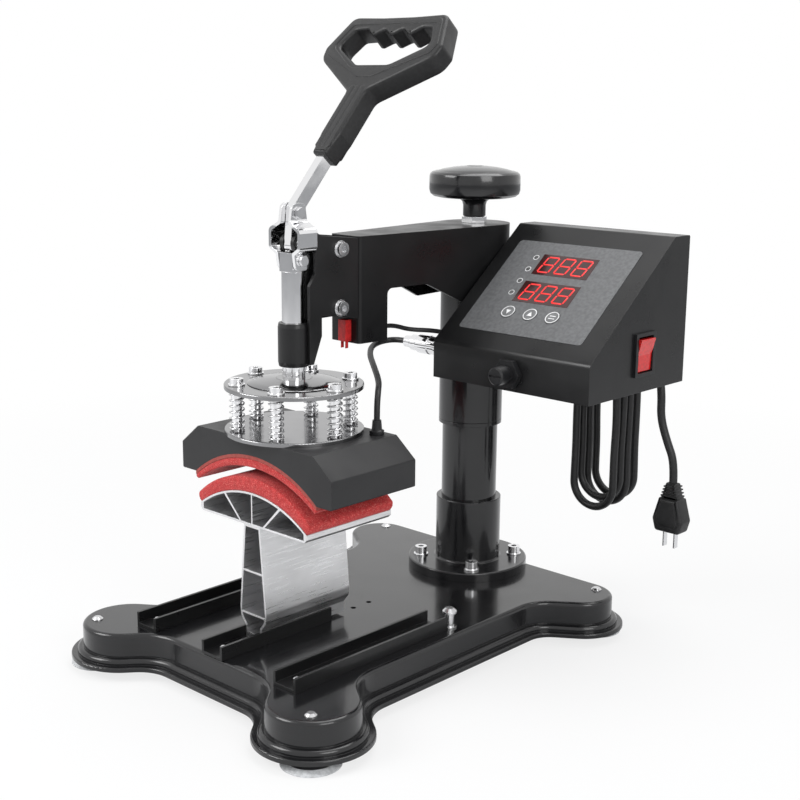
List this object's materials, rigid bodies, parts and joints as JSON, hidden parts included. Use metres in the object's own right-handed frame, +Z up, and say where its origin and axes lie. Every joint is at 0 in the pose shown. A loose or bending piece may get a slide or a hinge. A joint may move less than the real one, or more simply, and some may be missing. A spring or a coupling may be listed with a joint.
{
  "type": "combo heat press",
  "caption": "Swing-away toggle heat press set up for caps: curved platen over a padded cap form, on a lobed base with a control box on its arm.",
  "frame": {"origin": "on the bench, in the middle of the press's footprint without its free cord", "axes": "+X to the operator's right, +Y to the back, +Z up; the operator stands at -Y"},
  "size_m": [0.4289, 0.542, 0.6304],
  "materials": {
    "black_paint": "satin",
    "black_gloss": "gloss",
    "chrome": "polished",
    "steel": "satin",
    "aluminium": "satin",
    "red_silicone": "matte",
    "black_rubber": "matte",
    "pale_rubber": "satin",
    "black_plastic": "matte",
    "grip_plastic": "matte",
    "panel_grey": "satin",
    "window": "gloss",
    "lamp": "gloss",
    "button_grey": "satin",
    "red_plastic": "gloss",
    "brass": "satin",
    "heater": "matte"
  },
  "bodies": {
    "base": {"base_pan": "black_gloss", "foot_cups": "black_rubber", "foot_rings": "pale_rubber", "foot_screws": "chrome", "column_flange": "black_paint", "column_tube": "black_gloss", "column_nut": "steel", "flange_bolts": "steel", "tool_channels": "black_paint", "stop_screws": "steel", "locating_screw": "chrome"},
    "carriage": {"swivel_bush": "black_gloss", "thrust_nut": "chrome"},
    "knob": {"pressure_knob": "black_plastic", "lift_screw": "steel"},
    "arm": {"arm_shell": "black_gloss", "swivel_sleeve": "black_gloss", "front_bracket": "black_gloss", "guide_sleeve": "black_gloss", "fulcrum_pin": "chrome", "bracket_bolts": "chrome", "microswitch": "red_plastic", "sensor_cable": "black_rubber", "control_box": "black_paint", "box_back": "black_paint", "panel_plate": "panel_grey", "digit_displays": "window", "indicator_lamps": "lamp", "rocker_bezel": "black_plastic", "fuse_holder": "black_plastic", "heater_connector": "steel", "heater_cable": "black_rubber", "cord_gland": "black_plastic", "cord_hook": "black_paint", "cord_hank": "black_rubber", "cord_tail": "black_rubber", "power_plug": "black_rubber", "plug_blades": "brass"},
    "lever": {"lever_bar": "chrome", "lever_grip": "grip_plastic", "crank_pin": "chrome"},
    "links": {"toggle_links": "chrome", "plunger_pin": "chrome"},
    "plunger": {"plunger_tube": "chrome", "plunger_block": "black_paint", "top_disc": "black_paint"},
    "platen": {"lower_disc": "black_paint", "spring_rods": "chrome", "pressure_springs": "steel", "platen_housing": "black_paint", "heating_mat": "heater", "upper_pad": "red_silicone", "cable_gland": "black_plastic"},
    "rocker": {"power_rocker": "red_plastic"},
    "down_key": {"down_button": "button_grey"},
    "up_key": {"up_button": "button_grey"},
    "set_key": {"set_button": "button_grey"},
    "cap_stand": {"stand_post": "aluminium", "cap_form": "aluminium", "lower_pad": "red_silicone"}
  },
  "joints": [
    {"name": "knob_turn", "type": "hinge", "parent": "carriage", "child": "knob", "pos_m": [-0.0204, 0.149, 0.4435], "axis": [0, 0, 1], "range_deg": [-720.5, 720.5]},
    {"name": "head_lift", "type": "slide", "parent": "base", "child": "carriage", "axis": [0, 0, 1], "range_m": [-0.004, 0.004]},
    {"name": "arm_swing", "type": "hinge", "parent": "carriage", "child": "arm", "pos_m": [-0.0204, 0.149, 0.3835], "axis": [0, 0, 1], "range_deg": [0, 90]},
    {"name": "lever_turn", "type": "hinge", "parent": "arm", "child": "lever", "pos_m": [-0.0204, -0.1113, 0.4212], "axis": [1, 0, 0], "range_deg": [0, 70]},
    {"name": "link_turn", "type": "hinge", "parent": "lever", "child": "links", "pos_m": [-0.0204, -0.1113, 0.4488], "axis": [1, 0, 0], "range_deg": [-34.18, 0.5]},
    {"name": "plunger_slide", "type": "slide", "parent": "arm", "child": "plunger", "axis": [0, 0, -1], "range_m": [0, 0.0097], "deforming": ["heater_cable"]},
    {"name": "platen_float", "type": "slide", "parent": "plunger", "child": "platen", "axis": [0, 0, 1], "range_m": [0, 0.008], "stiffness_N_per_m": 24000, "springref_m": -0.004, "deforming": ["pressure_springs", "upper_pad", "lower_pad"]},
    {"name": "rocker_turn", "type": "hinge", "parent": "arm", "child": "rocker", "pos_m": [0.2038, 0.131, 0.315], "axis": [0, 1, 0], "range_deg": [-18, 0]},
    {"name": "stand_slide", "type": "slide", "parent": "base", "child": "cap_stand", "axis": [0, -1, 0], "range_m": [0, 0.036]},
    {"name": "down_press", "type": "slide", "parent": "arm", "child": "down_key", "axis": [0, 0.6266, -0.7793], "range_m": [0, 0.0005], "stiffness_N_per_m": 800, "springref_m": -0.0002},
    {"name": "up_press", "type": "slide", "parent": "arm", "child": "up_key", "axis": [0, 0.6266, -0.7793], "range_m": [0, 0.0005], "stiffness_N_per_m": 800, "springref_m": -0.0002},
    {"name": "set_press", "type": "slide", "parent": "arm", "child": "set_key", "axis": [0, 0.6266, -0.7793], "range_m": [0, 0.0005], "stiffness_N_per_m": 800, "springref_m": -0.0002}
  ],
  "couplings": [
    {"joint": "knob_turn", "follows": "head_lift", "rad_per_m": 3141.6},
    {"joint": "link_turn", "follows": "lever_turn", "ratio": -0.48114},
    {"joint": "plunger_slide", "follows": "lever_turn", "m_per_rad": 0.0078986}
  ]
}
